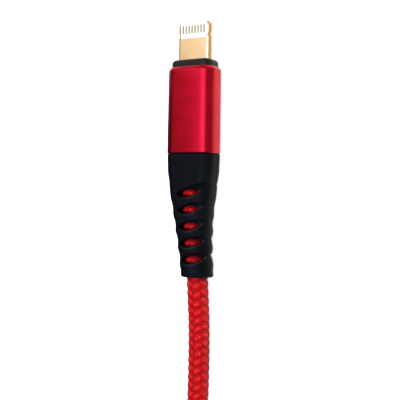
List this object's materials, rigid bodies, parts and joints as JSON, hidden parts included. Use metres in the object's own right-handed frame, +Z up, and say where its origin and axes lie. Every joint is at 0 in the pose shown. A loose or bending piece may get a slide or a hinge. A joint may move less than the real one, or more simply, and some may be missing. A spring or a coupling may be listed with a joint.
{
  "type": "charging cable",
  "caption": "Braided charging cable with a slim reversible device plug, a flat host plug, ribbed strain reliefs and a tied hank of spare cord.",
  "frame": {"origin": "centre of the device plug's footprint on the surface it lies on, measured from the tab's tip to the boot's end", "axes": "+Y along the device plug towards the tab's tip, +Z up from the surface through the plug's wide face, +X across the plug"},
  "size_m": [0.0324, 0.1747, 0.0168],
  "materials": {
    "gold_plating": "satin gold plating",
    "white_insulator": "smooth moulded",
    "contact_gold": "bright gold plating",
    "black_collar": "semi-gloss moulded",
    "red_anodised": "satin red anodising",
    "natural_moulding": "as moulded",
    "board_laminate": "solder mask",
    "chip_epoxy": "moulded epoxy",
    "capacitor_ceramic": "ceramic",
    "solder": "reflowed solder",
    "red_wire": "extruded",
    "black_wire": "extruded",
    "green_wire": "extruded",
    "white_wire": "extruded",
    "plated_steel": "nickel plated",
    "red_braid": "braided nylon",
    "black_boot": "satin moulded",
    "tie_strap": "hook-and-loop strap"
  },
  "bodies": {
    "cord_assembly": {"cord_lead": "red_braid", "cord_hank": "red_braid", "cord_tail": "red_braid", "cable_tie": "tie_strap"},
    "device_plug": {"plug_tab": "gold_plating", "contact_block": "white_insulator", "front_contacts": "contact_gold", "rear_contacts": "contact_gold", "collar": "black_collar", "aluminium_shell": "red_anodised", "inner_moulding": "natural_moulding", "circuit_board": "board_laminate", "controller_chip": "chip_epoxy", "power_chip": "chip_epoxy", "board_capacitors": "capacitor_ceramic", "solder_joints": "solder", "power_wire": "red_wire", "ground_wire": "black_wire", "data_plus_wire": "green_wire", "data_minus_wire": "white_wire", "cord_clamp": "plated_steel", "boot_cord": "red_braid", "boot": "black_boot"},
    "host_plug": {"host_shell": "plated_steel", "host_tongue": "white_insulator", "host_contacts": "contact_gold", "host_collar": "black_collar", "host_cover": "red_anodised", "host_moulding": "natural_moulding", "host_power_wire": "red_wire", "host_ground_wire": "black_wire", "host_data_plus_wire": "green_wire", "host_data_minus_wire": "white_wire", "host_solder_joints": "solder", "host_cord_clamp": "plated_steel", "host_boot_cord": "red_braid", "host_boot": "black_boot"}
  },
  "joints": [
    {"name": "device_boot_flex", "type": "hinge", "parent": "cord_assembly", "child": "device_plug", "pos_m": [0.0002, -0.01269, 0.0029], "axis": [0, 0, 1], "range_deg": [-40, 40], "stiffness_Nm_per_rad": 0.04, "deforming": ["boot", "boot_cord"]},
    {"name": "host_boot_flex", "type": "hinge", "parent": "cord_assembly", "child": "host_plug", "pos_m": [-0.0035, -0.10581, 0.0129], "axis": [0, 0, 1], "range_deg": [-40, 40], "stiffness_Nm_per_rad": 0.04, "deforming": ["host_boot", "host_boot_cord"]}
  ]
}
